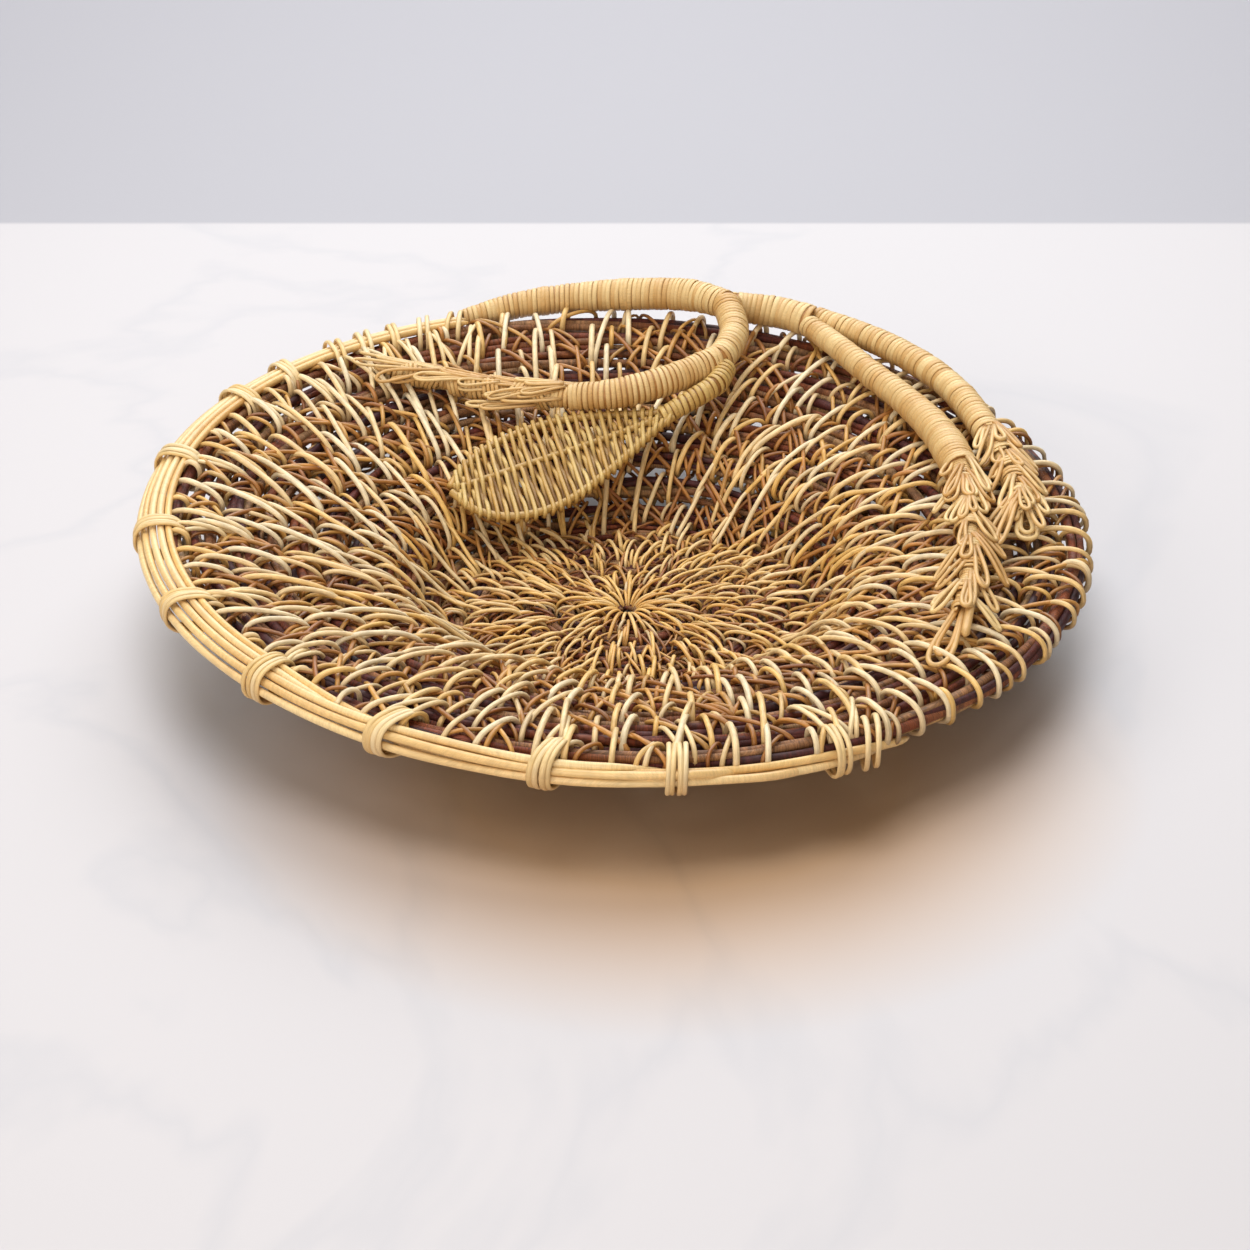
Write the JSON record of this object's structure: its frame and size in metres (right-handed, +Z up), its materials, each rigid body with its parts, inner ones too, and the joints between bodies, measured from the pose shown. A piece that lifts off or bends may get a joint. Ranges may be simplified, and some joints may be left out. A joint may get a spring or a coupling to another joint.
{
  "type": "winnowing basket",
  "caption": "Round open-work dish of coiled vine stitched with cane, with a wrapped side handle, a curled stem, a woven leaf and braided grain ears.",
  "frame": {"origin": "on the ground under the eye of the dish, at the rest_face mount", "axes": "+Z up, +Y towards the back, where the handle is, +X to the right seen from the front"},
  "size_m": [0.4066, 0.4149, 0.076],
  "materials": {
    "vine": "dull peeled vine bark, purple-brown to grey-brown, in bundles",
    "stitch_cane": "split cane, satin, pale straw to orange-brown",
    "rim_rod": "smooth pale yellow cane, satin",
    "binding_cane": "flat pale cane, satin",
    "core_rod": "round cane, hidden under the wrapping",
    "wrap_cane": "flat pale cane wound close, satin",
    "ear_cane": "thin round cane, satin",
    "leaf_cane": "olive-yellow cane, satin"
  },
  "bodies": {
    "root": {"coil_01": "vine", "coil_02": "vine", "coil_03": "vine", "coil_04": "vine", "coil_05": "vine", "coil_06": "vine", "coil_07": "vine", "coil_08": "vine", "coil_09": "vine", "coil_10": "vine", "coil_11": "vine", "coil_12": "vine", "coil_13": "vine", "coil_14": "vine", "coil_15": "vine", "coil_16": "vine", "coil_17": "vine", "coil_18": "vine", "stitches_01": "stitch_cane", "stitches_02": "stitch_cane", "stitches_03": "stitch_cane", "stitches_04": "stitch_cane", "stitches_05": "stitch_cane", "stitches_06": "stitch_cane", "stitches_07": "stitch_cane", "stitches_08": "stitch_cane", "stitches_09": "stitch_cane", "stitches_10": "stitch_cane", "stitches_11": "stitch_cane", "stitches_12": "stitch_cane", "stitches_13": "stitch_cane", "stitches_14": "stitch_cane", "stitches_15": "stitch_cane", "stitches_16": "stitch_cane", "stitches_17": "stitch_cane", "rim_rod_1": "rim_rod", "rim_rod_2": "rim_rod", "rim_rod_3": "rim_rod", "rim_rod_4": "rim_rod", "rim_rod_5": "rim_rod", "rim_bindings": "binding_cane", "rim_lashing": "binding_cane", "handle_core": "core_rod", "handle_wrap": "wrap_cane", "curl_wrap": "wrap_cane", "curl_end_wrap": "wrap_cane", "left_ear_loops": "ear_cane", "branch_wrap": "wrap_cane", "front_stem_core": "core_rod", "front_stem_wrap": "wrap_cane", "front_ear_loops": "ear_cane", "back_stem_core": "core_rod", "back_stem_wrap": "wrap_cane", "back_ear_loops": "ear_cane", "leaf_rib": "leaf_cane", "leaf_stem_wrap": "leaf_cane", "leaf_far_rod": "leaf_cane", "leaf_near_rod": "leaf_cane", "leaf_weave": "leaf_cane"}
  },
  "joints": []
}
